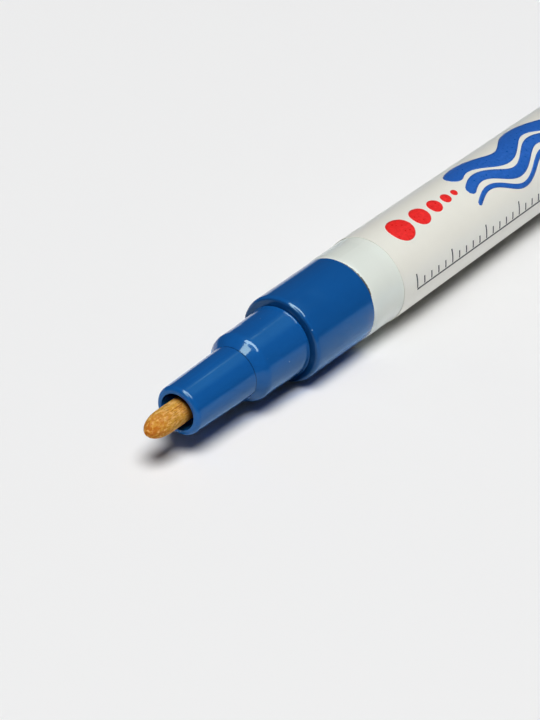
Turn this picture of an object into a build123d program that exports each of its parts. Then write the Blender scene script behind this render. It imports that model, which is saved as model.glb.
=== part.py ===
from build123d import *

import math
import os

# Valve-action paint marker with a bullet nib, lying on its side with the cap on its tail.
# It lies along X on the plane z = 0, nib toward -X, in millimetres. Stations run along
# the marker from the mouth of the nose (0) toward the tail, and the turned pieces are
# profiles of station and radius. It is sized from the nib outwards.

# Clearances
SLIP_FIT = 0.03  # radial, between pieces that are pressed or snapped together
RUNNING_FIT = 0.06  # radial, between the nib and its guide ribs
CAP_FIT = 0.05  # radial, between the cap and the seats that it slides on
SEAM = 0.08  # axial line between two pieces that butt
SEAT_GAP = 0.05  # axial, between the closed valve head and its seat
NIB_PLAY = 0.1  # axial, between the nib and the valve stem
GLUE_LINE = 0.02  # between the barrel and its label

# Nib
NIB_DIAMETER = 3.9
NIB_REACH = 6.9  # tip of the nib ahead of the mouth
NIB_TIP_LENGTH = 3.7
NIB_TRAVEL = 2.0
NIB_REAR_CHAMFER = 0.25

# Nose, outside
NIB_GAP = 1.02  # radial room round the nib at the mouth
TIP_WALL = 0.95
MOUTH_ROUND = 0.72
CONE_LENGTH = 13.25
CONE_RISE = 0.37
CREASE_WIDTH = 0.16  # witness line at the root of the cone
CREASE_DEPTH = 0.1
SHOULDER_LENGTH = 1.45
SHOULDER_RISE = 1.27
SHOULDER_ROUND = 1.7
CAP_SEAT_LENGTH = 3.7  # the straight part
SEAT_TAPER_LENGTH = 5.6
SEAT_TAPER_RISE = 0.23
RING_LENGTH = 0.47  # rounded ring at the end of the taper, where the cap grips
RING_RISE = 0.05
RING_DROP = 0.12  # from its crest to its end
RING_CREST = 0.3  # share of its length

# Nose, inside
RIB_COUNT = 6
RIB_WIDTH = 0.7
RIB_ROOT = 0.2  # how far a rib is rooted in the wall of the bore
RIB_INSET = 4.0
RIB_LENGTH = 14.0

# Nose plug, snapped into the collar
PLUG_STEP = 0.66
PLUG_WALL = 0.87
PLUG_LENGTH = 8.5
BEAD_HEIGHT = 0.15
BEAD_LENGTH = 1.2
BEAD_INSET = 1.6  # from the rear end of the plug

# Collar
COLLAR_LENGTH = 14.6  # the part that shows, face to barrel
COLLAR_RISE = 0.1
LIP_ROUND_LENGTH = 0.85
LIP_ROUND_HEIGHT = 0.55
COLLAR_GRIP = 3.3  # behind the rolled neck of the barrel

# Barrel and label
CAP_WALL = 1.25  # the cap, the collar's lip and the tail flange are flush
LIP_PROUD = 0.07  # the barrel stands proud of the collar
NECK_STEP = 0.09
NECK_LENGTH = 6.2
NECK_TAPER = 1.4
BARREL_WALL = 0.35
BARREL_LENGTH = 79.0
ROLL_LENGTH = 0.8  # rounded edge at each end
ROLL_DROP = 0.2
LABEL_FILM = 0.08
LABEL_INSET = 7.8  # label edge to barrel end

# Valve
FLANGE_THICKNESS = 1.5
RETAINER_INSET = 6.0  # front of the retainer ahead of the flange
RETAINER_THICKNESS = 1.4
RETAINER_LIP = 0.25
RETAINER_HUB_LENGTH = 1.5
RETAINER_HOLE = 1.2
PORT_COUNT = 6
PORT_DIAMETER = 1.0
VALVE_WALL = 0.75
SPIGOT_WALL = 1.35
SPIGOT_LENGTH = 5.5
SEAT_WALL = 2.0
ORIFICE_DIAMETER = 3.0
SEAT_RISE = 0.7
HEAD_LAP = 0.2  # radial, valve head over its seat
HEAD_THICKNESS = 1.0
ROD_GAP = 0.6
PUSHER_RELIEF = 0.1
PUSHER_THICKNESS = 1.2
PUSHER_ROOM = 0.3
STEM_TAIL_LENGTH = 3.0

# Spring
SPRING_LENGTH = 10.0  # as fitted
SPRING_DIAMETER = 3.6  # middle of the wire
SPRING_WIRE = 0.4
SPRING_TURNS = 7
SPRING_BORE_GAP = 0.25  # radial, round the stem tail and the retainer hub
SPRING_SEAT_GAP = 0.02

# Mixing ball
BALL_DIAMETER = 6.0
BALL_FLOAT = 0.1
BALL_STATION = 22.0  # behind the valve flange

# Tail
TAIL_GRIP = 1.9  # ahead of the rolled neck of the barrel
TAIL_FLANGE = 1.2
TAIL_SPIGOT_LENGTH = 9.0
TAIL_WALL = 1.3
TAIL_ROUND = 0.8
FLANGE_ROUND = 0.3

# Cap
LINER_FIT = 0.08
LINER_WALL = 0.6
LINER_SETBACK = 0.3
TIP_ROOM = 1.5  # ahead of the nib in the closed cap
CAP_END_WALL = 1.6
CAP_END_ROUND = 1.2
CAP_RIM_ROUND = 0.3
GRIP_RIB_COUNT = 12
GRIP_RIB_WIDTH = 1.0
GRIP_RIB_HEIGHT = 0.5  # just proud of the barrel, so that the marker doesn't roll
GRIP_RIB_ROOT = 0.2  # how far a rib is rooted in the wall of the cap
GRIP_RIB_LENGTH = 20.0
GRIP_RIB_RAMP = 0.8
GRIP_RIB_SETBACK = 2.0  # from the closed end

# Radii, from the nib outwards
nib_r = NIB_DIAMETER / 2
guide_r = nib_r + RUNNING_FIT
bore_r = nib_r + NIB_GAP
tip_r = bore_r + TIP_WALL
cone_r = tip_r + CONE_RISE
crease_r = cone_r - CONE_RISE * CREASE_WIDTH / CONE_LENGTH
seat_r = cone_r + SHOULDER_RISE
taper_r = seat_r + SEAT_TAPER_RISE
ring_r = taper_r + RING_RISE
plug_r = seat_r - PLUG_STEP
socket_r = plug_r - PLUG_WALL
collar_bore_r = plug_r + SLIP_FIT
cap_bore_r = ring_r + CAP_FIT
lip_r = cap_bore_r + CAP_WALL
collar_r = lip_r + COLLAR_RISE
neck_r = collar_r + LIP_PROUD
neck_bore_r = neck_r - BARREL_WALL
roll_drop = min(ROLL_DROP, BARREL_WALL * 0.7)
neck_plug_r = neck_bore_r - SLIP_FIT
barrel_r = neck_r + NECK_STEP
barrel_bore_r = barrel_r - BARREL_WALL
barrel_plug_r = barrel_bore_r - SLIP_FIT
label_bore_r = barrel_r + GLUE_LINE
label_r = label_bore_r + LABEL_FILM
spigot_r = socket_r - SLIP_FIT
spigot_bore_r = spigot_r - SPIGOT_WALL
chamber_r = spigot_r - VALVE_WALL
groove_r = chamber_r + RETAINER_LIP
retainer_r = groove_r - SLIP_FIT
orifice_r = ORIFICE_DIAMETER / 2
valve_seat_r = orifice_r + SEAT_RISE
head_r = valve_seat_r + HEAD_LAP
rod_r = orifice_r - ROD_GAP
pusher_r = nib_r - PUSHER_RELIEF
coil_r = SPRING_DIAMETER / 2
wire_r = SPRING_WIRE / 2
hub_r = coil_r - wire_r - SPRING_BORE_GAP
port_circle_r = (coil_r + wire_r + retainer_r) / 2
ball_r = BALL_DIAMETER / 2
liner_bore_r = cone_r + LINER_FIT
liner_r = liner_bore_r + LINER_WALL
pocket_r = liner_r + SLIP_FIT
tail_core_r = ring_r - TAIL_WALL
grip_r = lip_r + GRIP_RIB_HEIGHT

# Stations, from the mouth of the nose to the tail
shoulder_end = CONE_LENGTH + SHOULDER_LENGTH
seat_end = shoulder_end + CAP_SEAT_LENGTH
taper_end = seat_end + SEAT_TAPER_LENGTH
ring_end = taper_end + RING_LENGTH
collar_front = ring_end + SEAM
nose_rear = collar_front + PLUG_LENGTH
barrel_front = collar_front + COLLAR_LENGTH
neck_end = barrel_front + NECK_LENGTH
collar_rear = neck_end + NECK_TAPER + COLLAR_GRIP
flange_rear = collar_rear + FLANGE_THICKNESS
barrel_rear = barrel_front + BARREL_LENGTH
rear_neck = barrel_rear - NECK_LENGTH
label_front = barrel_front + LABEL_INSET
label_rear = barrel_rear - LABEL_INSET
retainer_front = collar_rear - RETAINER_INSET
retainer_rear = retainer_front + RETAINER_THICKNESS
spring_front = retainer_front - SPRING_LENGTH
head_front = spring_front - HEAD_THICKNESS
seat_wall_rear = head_front - HEAD_LAP - SEAT_GAP
orifice_end = seat_wall_rear - SEAT_RISE
seat_wall_front = seat_wall_rear - SEAT_WALL
spigot_front = seat_wall_front - SPIGOT_LENGTH
socket_floor = spigot_front - SEAM
pusher_rear = seat_wall_front - NIB_TRAVEL - PUSHER_ROOM
stem_front = pusher_rear - PUSHER_THICKNESS
nib_rear = stem_front - NIB_PLAY
nib_tip = -NIB_REACH
bead_front = nose_rear - BEAD_INSET - BEAD_LENGTH
tail_front = rear_neck - NECK_TAPER - TAIL_GRIP
tail_flange_front = barrel_rear + SEAM
tail_flange_rear = tail_flange_front + TAIL_FLANGE
tail_rear = tail_flange_rear + TAIL_SPIGOT_LENGTH
cap_front = tail_flange_rear + SEAM
liner_front = cap_front + collar_front - CONE_LENGTH + LINER_SETBACK
liner_floor = cap_front + collar_front + NIB_REACH + TIP_ROOM
liner_rear = liner_floor + LINER_WALL
cap_rear = liner_rear + CAP_END_WALL
grip_rear = cap_rear - GRIP_RIB_SETBACK
grip_front = grip_rear - GRIP_RIB_LENGTH
ball_station = flange_rear + BALL_STATION

# The marker lies on its label and on two ribs of the cap, one each side of the lowest line,
# with the middle of its length over the origin
rib_step = 360 / GRIP_RIB_COUNT
half_step = math.radians(rib_step / 2)
rib_depth = grip_r * math.cos(half_step) + GRIP_RIB_WIDTH / 2 * math.sin(half_step)
middle = (nib_tip + cap_rear) / 2
axis_height = max(label_r, rib_depth)
MARKER_AXIS = Axis((-middle, 0, axis_height), (1, 0, 0))


def profile_plane(turn):
    """The plane of station and radius on one side of the axis, so many degrees from the top."""
    angle = math.radians(turn)
    across = (0, -math.cos(angle), -math.sin(angle))
    return Plane(origin=(-middle, 0, axis_height), x_dir=(1, 0, 0), z_dir=across)


PROFILE = profile_plane(0)


def section(station):
    """The plane across the marker at a station, facing the tail."""
    return Plane(origin=(station - middle, 0, axis_height), x_dir=(0, 1, 0), z_dir=(1, 0, 0))


def corner(profile, station, radius):
    """The corner of a profile that is nearest to a station and radius."""
    return profile.vertices().sort_by_distance((station, radius, 0))[0]


def snap_bead(front, radius):
    """Outline points of the snap bead on a wall of the given radius, from front to rear."""
    ramp = BEAD_LENGTH / 3
    top = radius + BEAD_HEIGHT
    return [
        (front, radius),
        (front + ramp, top),
        (front + BEAD_LENGTH - ramp, top),
        (front + BEAD_LENGTH, radius),
    ]


os.makedirs("parts", exist_ok=True)

# Nib: a fibre rod with a bullet tip
with BuildPart() as nib:
    with BuildSketch(PROFILE):
        with BuildLine():
            tip = EllipticalCenterArc(
                (nib_tip + NIB_TIP_LENGTH, 0), NIB_TIP_LENGTH, nib_r, start_angle=90, arc_size=90
            )
            Polyline(
                tip @ 1,
                (nib_rear, 0),
                (nib_rear, nib_r - NIB_REAR_CHAMFER),
                (nib_rear - NIB_REAR_CHAMFER, nib_r),
                tip @ 0,
            )
        make_face()
    revolve(axis=MARKER_AXIS)
nib.part.label = "nib"
export_step(nib.part, "parts/nib.step")

# Nose: cone, shoulder and cap seat, with guide ribs round the nib
with BuildPart() as nose:
    with BuildSketch(PROFILE) as outline:
        with BuildLine():
            ring = ThreePointArc(
                (taper_end, taper_r),
                (taper_end + RING_CREST * RING_LENGTH, ring_r),
                (ring_end, ring_r - RING_DROP),
            )
            Polyline(
                ring @ 1,
                (ring_end, plug_r),
                *snap_bead(bead_front, plug_r),
                (nose_rear, plug_r),
                (nose_rear, socket_r),
                (socket_floor, socket_r),
                (socket_floor, bore_r),
                (0, bore_r),
                (0, tip_r),
                (CONE_LENGTH - CREASE_WIDTH, crease_r),
                (CONE_LENGTH - CREASE_WIDTH / 2, crease_r - CREASE_DEPTH),
                (CONE_LENGTH, cone_r),
                (shoulder_end, seat_r),
                (seat_end, seat_r),
                ring @ 0,
            )
        make_face()
        fillet(corner(outline, 0, tip_r), min(MOUTH_ROUND, TIP_WALL * 0.95))
        fillet(corner(outline, shoulder_end, seat_r), SHOULDER_ROUND)
    revolve(axis=MARKER_AXIS)
    with BuildSketch(section(RIB_INSET)):
        with PolarLocations((guide_r + bore_r + RIB_ROOT) / 2, RIB_COUNT):
            Rectangle(bore_r + RIB_ROOT - guide_r, RIB_WIDTH)
    extrude(amount=RIB_LENGTH)
nose.part.label = "nose"
export_step(nose.part, "parts/nose.step")

# Collar: a flat face with a round lip, rolled into the neck of the barrel at the rear
with BuildPart() as collar:
    with BuildSketch(PROFILE):
        with BuildLine():
            lip_round = EllipticalCenterArc(
                (collar_front + LIP_ROUND_LENGTH, lip_r - LIP_ROUND_HEIGHT),
                LIP_ROUND_LENGTH,
                LIP_ROUND_HEIGHT,
                start_angle=90,
                arc_size=90,
            )
            Polyline(
                lip_round @ 1,
                (collar_front, collar_bore_r),
                *snap_bead(bead_front, collar_bore_r),
                (collar_rear, collar_bore_r),
                (collar_rear, barrel_plug_r),
                (neck_end + NECK_TAPER, barrel_plug_r),
                (neck_end, neck_plug_r),
                (barrel_front - SEAM, neck_plug_r),
                (barrel_front - SEAM, collar_r),
                lip_round @ 0,
            )
        make_face()
    revolve(axis=MARKER_AXIS)
collar.part.label = "collar"
export_step(collar.part, "parts/collar.step")

# Valve body: spigot in the nose, seat wall, spring chamber and flange
with BuildPart() as valve_body:
    with BuildSketch(PROFILE):
        with BuildLine():
            Polyline(
                (spigot_front, spigot_bore_r),
                (spigot_front, spigot_r),
                (nose_rear + SEAM, spigot_r),
                (nose_rear + SEAM, plug_r),
                (collar_rear, plug_r),
                (collar_rear, barrel_plug_r),
                (flange_rear, barrel_plug_r),
                (flange_rear, chamber_r),
                (retainer_rear + SLIP_FIT, chamber_r),
                (retainer_rear + SLIP_FIT, groove_r),
                (retainer_front - SLIP_FIT, groove_r),
                (retainer_front - SLIP_FIT, chamber_r),
                (seat_wall_rear, chamber_r),
                (seat_wall_rear, valve_seat_r),
                (orifice_end, orifice_r),
                (seat_wall_front, orifice_r),
                (seat_wall_front, spigot_bore_r),
                close=True,
            )
        make_face()
    revolve(axis=MARKER_AXIS)
valve_body.part.label = "valve_body"
export_step(valve_body.part, "parts/valve_body.step")

# Valve stem: pusher behind the nib, rod, conical head and the tail that guides the spring
with BuildPart() as valve_stem:
    with BuildSketch(PROFILE):
        with BuildLine():
            Polyline(
                (stem_front, 0),
                (stem_front, pusher_r),
                (pusher_rear, pusher_r),
                (pusher_rear, rod_r),
                (head_front - (head_r - rod_r), rod_r),
                (head_front, head_r),
                (spring_front, head_r),
                (spring_front, hub_r),
                (spring_front + STEM_TAIL_LENGTH, hub_r),
                (spring_front + STEM_TAIL_LENGTH, 0),
                close=True,
            )
        make_face()
    revolve(axis=MARKER_AXIS)
valve_stem.part.label = "valve_stem"
export_step(valve_stem.part, "parts/valve_stem.step")

# Valve spring: one wire wound as a helix between the valve head and the retainer
coil_start = spring_front + SPRING_SEAT_GAP + wire_r
coil_pitch = (SPRING_LENGTH - 2 * SPRING_SEAT_GAP - SPRING_WIRE) / SPRING_TURNS


def coil_point(turns):
    """A point on the middle of the wire, so many turns from the front end."""
    angle = 2 * math.pi * turns
    return Vector(
        coil_start + coil_pitch * turns - middle,
        coil_r * math.cos(angle),
        axis_height + coil_r * math.sin(angle),
    )


def coil_direction(turns):
    """The direction of the wire, so many turns from the front end."""
    angle = 2 * math.pi * turns
    run = 2 * math.pi * coil_r
    return Vector(coil_pitch, -run * math.sin(angle), run * math.cos(angle)).normalized()


def biarc_joint(start, start_way, end, end_way):
    """Where two tangent arcs from start to end meet, and the direction there."""
    chord = end - start
    both = start_way + end_way
    a = 4 - both.dot(both)
    b = 2 * chord.dot(both)
    c = -chord.dot(chord)
    reach = (-b + math.sqrt(b * b - 4 * a * c)) / (2 * a)
    first = start + start_way * reach
    second = end - end_way * reach
    return (first + second) * 0.5, (second - first).normalized()


with BuildPart() as valve_spring:
    with BuildLine() as wire_path:
        for half in range(2 * SPRING_TURNS):
            start, end = coil_point(half / 2), coil_point((half + 1) / 2)
            start_way, end_way = coil_direction(half / 2), coil_direction((half + 1) / 2)
            joint, joint_way = biarc_joint(start, start_way, end, end_way)
            TangentArc(start, joint, tangent=start_way)
            TangentArc(joint, end, tangent=joint_way)
    with BuildSketch(Plane(origin=coil_point(0), z_dir=coil_direction(0))):
        Circle(wire_r)
    sweep(path=wire_path.line)
valve_spring.part.label = "valve_spring"
export_step(valve_spring.part, "parts/valve_spring.step")

GAP_STEPS = 48  # points in a turn where the gap between turns is measured
coil_points = [coil_point(step / GAP_STEPS) for step in range(SPRING_TURNS * GAP_STEPS + 1)]
coil_gap = min(
    (there - here).length
    for index, here in enumerate(coil_points)
    for there in coil_points[index + GAP_STEPS // 2 :]
)
print("least gap between the turns of the spring", round(coil_gap - SPRING_WIRE, 3))

# Spring retainer: a ported disc with a hub in the end of the spring
with BuildPart() as spring_retainer:
    with BuildSketch(PROFILE):
        with BuildLine():
            Polyline(
                (retainer_front - RETAINER_HUB_LENGTH, RETAINER_HOLE / 2),
                (retainer_front - RETAINER_HUB_LENGTH, hub_r),
                (retainer_front, hub_r),
                (retainer_front, retainer_r),
                (retainer_rear, retainer_r),
                (retainer_rear, RETAINER_HOLE / 2),
                close=True,
            )
        make_face()
    revolve(axis=MARKER_AXIS)
    with BuildSketch(section(retainer_front)):
        with PolarLocations(port_circle_r, PORT_COUNT):
            Circle(PORT_DIAMETER / 2)
    extrude(amount=RETAINER_THICKNESS, mode=Mode.SUBTRACT)
spring_retainer.part.label = "spring_retainer"
export_step(spring_retainer.part, "parts/spring_retainer.step")

# Barrel: a thin tube, rolled to a neck on the collar and on the tail plug
with BuildPart() as barrel:
    with BuildSketch(PROFILE):
        with BuildLine():
            front_roll = EllipticalCenterArc(
                (barrel_front + ROLL_LENGTH, neck_r - roll_drop),
                ROLL_LENGTH,
                roll_drop,
                start_angle=90,
                arc_size=90,
            )
            rear_roll = EllipticalCenterArc(
                (barrel_rear - ROLL_LENGTH, neck_r - roll_drop),
                ROLL_LENGTH,
                roll_drop,
                start_angle=0,
                arc_size=90,
            )
            Polyline(
                front_roll @ 0,
                (neck_end, neck_r),
                (neck_end + NECK_TAPER, barrel_r),
                (rear_neck - NECK_TAPER, barrel_r),
                (rear_neck, neck_r),
                rear_roll @ 1,
            )
            Polyline(
                rear_roll @ 0,
                (barrel_rear, neck_bore_r),
                (rear_neck, neck_bore_r),
                (rear_neck - NECK_TAPER, barrel_bore_r),
                (neck_end + NECK_TAPER, barrel_bore_r),
                (neck_end, neck_bore_r),
                (barrel_front, neck_bore_r),
                front_roll @ 1,
            )
        make_face()
    revolve(axis=MARKER_AXIS)
barrel.part.label = "barrel"
export_step(barrel.part, "parts/barrel.step")

# Label: a film wrapped round the barrel
with BuildPart() as label_film:
    with BuildSketch(section(label_front)):
        Circle(label_r)
        Circle(label_bore_r, mode=Mode.SUBTRACT)
    extrude(amount=label_rear - label_front)
label_film.part.label = "label_film"
export_step(label_film.part, "parts/label_film.step")

# Mixing ball, lying on the bottom of the barrel
with BuildPart() as mixing_ball:
    with Locations((ball_station - middle, 0, axis_height - barrel_bore_r + BALL_FLOAT + ball_r)):
        Sphere(ball_r)
mixing_ball.part.label = "mixing_ball"
export_step(mixing_ball.part, "parts/mixing_ball.step")

# Tail plug: rolled into the barrel, with a flange and a hollow spigot that takes the cap
with BuildPart() as tail_plug:
    with BuildSketch(PROFILE) as outline:
        with BuildLine():
            Polyline(
                (tail_front, tail_core_r),
                (tail_front, barrel_plug_r),
                (rear_neck - NECK_TAPER, barrel_plug_r),
                (rear_neck, neck_plug_r),
                (tail_flange_front, neck_plug_r),
                (tail_flange_front, lip_r),
                (tail_flange_rear, lip_r),
                (tail_flange_rear, ring_r),
                (tail_rear, ring_r),
                (tail_rear, 0),
                (tail_rear - TAIL_WALL, 0),
                (tail_rear - TAIL_WALL, tail_core_r),
                close=True,
            )
        make_face()
        fillet(corner(outline, tail_rear, ring_r), min(TAIL_ROUND, TAIL_WALL * 0.7))
        fillet(corner(outline, tail_flange_rear, lip_r), min(FLANGE_ROUND, TAIL_FLANGE * 0.4))
    revolve(axis=MARKER_AXIS)
tail_plug.part.label = "tail_plug"
export_step(tail_plug.part, "parts/tail_plug.step")

# Cap: bore that slides on the seats, pocket for the liner, grip ribs toward the closed end
with BuildPart() as cap_shell:
    with BuildSketch(PROFILE) as outline:
        with BuildLine():
            Polyline(
                (cap_front, cap_bore_r),
                (cap_front, lip_r),
                (cap_rear, lip_r),
                (cap_rear, 0),
                (liner_rear, 0),
                (liner_rear, pocket_r),
                (liner_front, pocket_r),
                (liner_front, cap_bore_r),
                close=True,
            )
        make_face()
        fillet(corner(outline, cap_rear, lip_r), min(CAP_END_ROUND, CAP_END_WALL * 0.8))
        fillet(corner(outline, cap_front, lip_r), min(CAP_RIM_ROUND, CAP_WALL * 0.3))
        fillet(corner(outline, cap_front, cap_bore_r), min(CAP_RIM_ROUND, CAP_WALL * 0.3))
    revolve(axis=MARKER_AXIS)
    for rib in range(GRIP_RIB_COUNT):
        with BuildSketch(profile_plane(180 + (rib + 0.5) * rib_step)):
            with BuildLine():
                Polyline(
                    (grip_front, lip_r - GRIP_RIB_ROOT),
                    (grip_front + GRIP_RIB_RAMP, grip_r),
                    (grip_rear - GRIP_RIB_RAMP, grip_r),
                    (grip_rear, lip_r - GRIP_RIB_ROOT),
                    close=True,
                )
            make_face()
        extrude(amount=GRIP_RIB_WIDTH / 2, both=True)
cap_shell.part.label = "cap_shell"
export_step(cap_shell.part, "parts/cap_shell.step")

# Cap liner: a seal cup that closes round the cone of the nose
with BuildPart() as cap_liner:
    with BuildSketch(PROFILE):
        with BuildLine():
            Polyline(
                (liner_front, liner_bore_r),
                (liner_front, liner_r),
                (liner_rear, liner_r),
                (liner_rear, 0),
                (liner_floor, 0),
                (liner_floor, liner_bore_r),
                close=True,
            )
        make_face()
    revolve(axis=MARKER_AXIS)
cap_liner.part.label = "cap_liner"
export_step(cap_liner.part, "parts/cap_liner.step")

print("overall length", round(cap_rear - nib_tip, 2), "barrel diameter", round(2 * label_r, 2))
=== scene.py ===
import math
from collections import namedtuple

import bmesh
import bpy
from bpy.props import FloatProperty, FloatVectorProperty, IntProperty, PointerProperty
from bpy.types import Operator, Panel, PropertyGroup
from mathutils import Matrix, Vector, noise


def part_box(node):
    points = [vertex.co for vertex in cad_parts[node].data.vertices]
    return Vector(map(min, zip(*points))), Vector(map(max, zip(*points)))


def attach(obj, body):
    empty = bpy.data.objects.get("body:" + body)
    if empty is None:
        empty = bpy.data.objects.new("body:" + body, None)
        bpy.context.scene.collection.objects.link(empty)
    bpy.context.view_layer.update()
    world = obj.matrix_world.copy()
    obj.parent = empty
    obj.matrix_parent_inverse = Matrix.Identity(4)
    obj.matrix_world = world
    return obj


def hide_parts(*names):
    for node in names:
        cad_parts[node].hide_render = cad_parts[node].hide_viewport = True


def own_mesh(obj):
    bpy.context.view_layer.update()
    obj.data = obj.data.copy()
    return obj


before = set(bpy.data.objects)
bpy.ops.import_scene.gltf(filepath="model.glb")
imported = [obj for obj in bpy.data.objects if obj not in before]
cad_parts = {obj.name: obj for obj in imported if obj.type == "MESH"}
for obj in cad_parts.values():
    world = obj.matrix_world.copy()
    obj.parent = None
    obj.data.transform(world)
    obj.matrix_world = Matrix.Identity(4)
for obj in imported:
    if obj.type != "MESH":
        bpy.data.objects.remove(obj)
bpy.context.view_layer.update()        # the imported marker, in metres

bl_info = {
    "name": "Paint marker",
    "version": (1, 0, 0),
    "blender": (4, 5, 0),
    "location": "View3D > Sidebar > Marker",
    "description": "Finishes a valve-action paint marker and sets its stage",
    "category": "Object",
}

# Places read from the frame, in metres
MM = 0.001
NOSE_LOW, NOSE_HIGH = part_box("nose")
AXIS_HEIGHT = (NOSE_LOW.z + NOSE_HIGH.z) / 2
MOUTH = Vector((NOSE_LOW.x, 0, AXIS_HEIGHT))
NIB_LOW, NIB_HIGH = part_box("nib")
NIB_RADIUS = (NIB_HIGH.y - NIB_LOW.y) / 2
SPRING_LOW, SPRING_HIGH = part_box("valve_spring")
SPRING_RADIUS = (SPRING_HIGH.y - SPRING_LOW.y) / 2
COLLAR_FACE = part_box("collar")[0].x
BARREL_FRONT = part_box("barrel")[0].x
LABEL_LOW, LABEL_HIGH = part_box("label_film")
LABEL_RADIUS = (LABEL_HIGH.y - LABEL_LOW.y) / 2

# Sockets of the colour Mix node, whose names repeat
MIX_FACTOR = 0
MIX_A = 6
MIX_B = 7
MIX_RESULT = 2


def colour_property(label, about, value):
    """A linear colour that the user can change."""
    return FloatVectorProperty(
        name=label, description=about, default=value, min=0, max=1, size=3, subtype="COLOR"
    )


def length_property(label, about, value):
    """A length in metres that the user can change."""
    return FloatProperty(
        name=label, description=about, default=value, min=0, precision=6, unit="LENGTH"
    )


def angle_property(label, about, degrees):
    """An angle that the user can change."""
    return FloatProperty(
        name=label, description=about, default=math.radians(degrees), subtype="ANGLE"
    )


def share_property(label, about, value):
    """A share between nothing and all."""
    return FloatProperty(
        name=label, description=about, default=value, min=0, max=1, subtype="FACTOR"
    )


def slope_property(label, about, value):
    """A pair of slopes, along and across the marker, seen from it."""
    return FloatVectorProperty(name=label, description=about, default=value, size=2)


def shine_property(label, value):
    """Brightness of a light's face."""
    about = "Brightness of its face, where 1 is white"
    return FloatProperty(name=label, description=about, default=value, min=0)


class NibSettings(PropertyGroup):
    """The felted fibre nib."""

    tip_length: length_property("Tip length", "Length of the rounded tip", 3.7 * MM)
    chamfer: length_property("Rear chamfer", "Bevel of the end that pushes the valve", 0.25 * MM)
    strand_width: length_property("Strand width", "Width of one strand of fibre", 0.3 * MM)
    strand_length: length_property("Strand length", "How far a strand keeps its height", 4 * MM)
    relief: length_property("Strand relief", "Depth of the grooves between strands", 0.05 * MM)
    fibre: colour_property("Fibre", "Clean fibre", (0.60, 0.30, 0.045))
    pale: colour_property("Pale fibre", "Dry strands", (0.80, 0.50, 0.16))
    dark: colour_property("Dark fibre", "Shadow and binder between strands", (0.30, 0.10, 0.010))
    tip: colour_property("Tip", "Stained fibre toward the tip", (0.47, 0.135, 0.010))
    # Painted shade on the fibre where the nib leaves the nose's mouth
    root: colour_property("Root", "Soaked fibre where the nib leaves the nose", (0.08, 0.022, 0.002))
    depth: length_property("Light depth", "How far light passes through the fibre", 1.0 * MM)


class MouldingSettings(PropertyGroup):
    """The blue mouldings."""

    blue: colour_property("Blue", "Moulded plastic", (0.0055, 0.091, 0.325))
    deep: colour_property("Deep blue", "Darker flow marks in the plastic", (0.0045, 0.083, 0.302))
    dust: colour_property("Dust", "Specks and hairline scratches", (0.2, 0.33, 0.52))
    # Painted shade in the crease at the cone's root, a thin dark ring
    shade_and_grime: colour_property("Grime", "Dirt in the crease at the cone's root", (0.003, 0.02, 0.06))
    # Painted shade on the collar's flat face, and faintly on its flank
    face_shade: colour_property(
        "Recess", "Dull face of the collar, faint on its flank", (0.0025, 0.042, 0.15)
    )
    sheen: colour_property("Sheen", "Tint of what the moulding mirrors", (0.85, 1.0, 1.0))
    crease: length_property("Crease", "From the mouth to the crease at the cone's root", 13.17 * MM)
    gloss: share_property("Roughness", "Roughness of the polished moulding", 0.05)


class BarrelSettings(PropertyGroup):
    """The lacquered barrel and its label film."""

    lacquer: colour_property("Lacquer", "White lacquer on the aluminium", (0.724, 0.763, 0.706))
    film: colour_property("Film", "Label film", (0.789, 0.778, 0.705))
    # Grime and painted shade in the seam at the barrel's mouth
    shade_and_grime: colour_property("Grime", "Dirt in the seam at the barrel's mouth", (0.045, 0.042, 0.036))
    seam: length_property("Seam", "Width of the dirty seam at the barrel's mouth", 0.3 * MM)


class PrintSettings(PropertyGroup):
    """The print on the label film."""

    turn: angle_property("Turn", "Middle of the print, from the top toward +Y", -44)
    ink: length_property("Ink", "Height of the ink above the film", 0.02 * MM)
    root: length_property("Ink root", "Depth of the ink in the film", 0.01 * MM)
    blue: colour_property("Blue ink", "Waves", (0.012, 0.10, 0.42))
    red: colour_property("Red ink", "Dots", (0.76, 0.014, 0.012))
    black: colour_property("Black ink", "Rule", (0.014, 0.014, 0.016))
    wave_length: length_property("Wave length", "From one crest to the next", 17 * MM)
    wave_height: length_property("Wave height", "From the middle line to a crest", 1.5 * MM)
    tick_step: length_property("Tick step", "Between two ticks of the rule", 2 * MM)


class ValveSettings(PropertyGroup):
    """The valve's inner pieces and the mixing ball."""

    plastic: colour_property("Natural plastic", "Unpigmented plastic", (0.74, 0.73, 0.66))
    steel: colour_property("Steel", "Spring wire and ball", (0.56, 0.56, 0.55))
    wire: length_property("Wire", "Diameter of the spring wire", 0.4 * MM)
    turns: IntProperty(
        name="Open turns", description="Turns between the closed ends", default=7, min=2
    )


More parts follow.
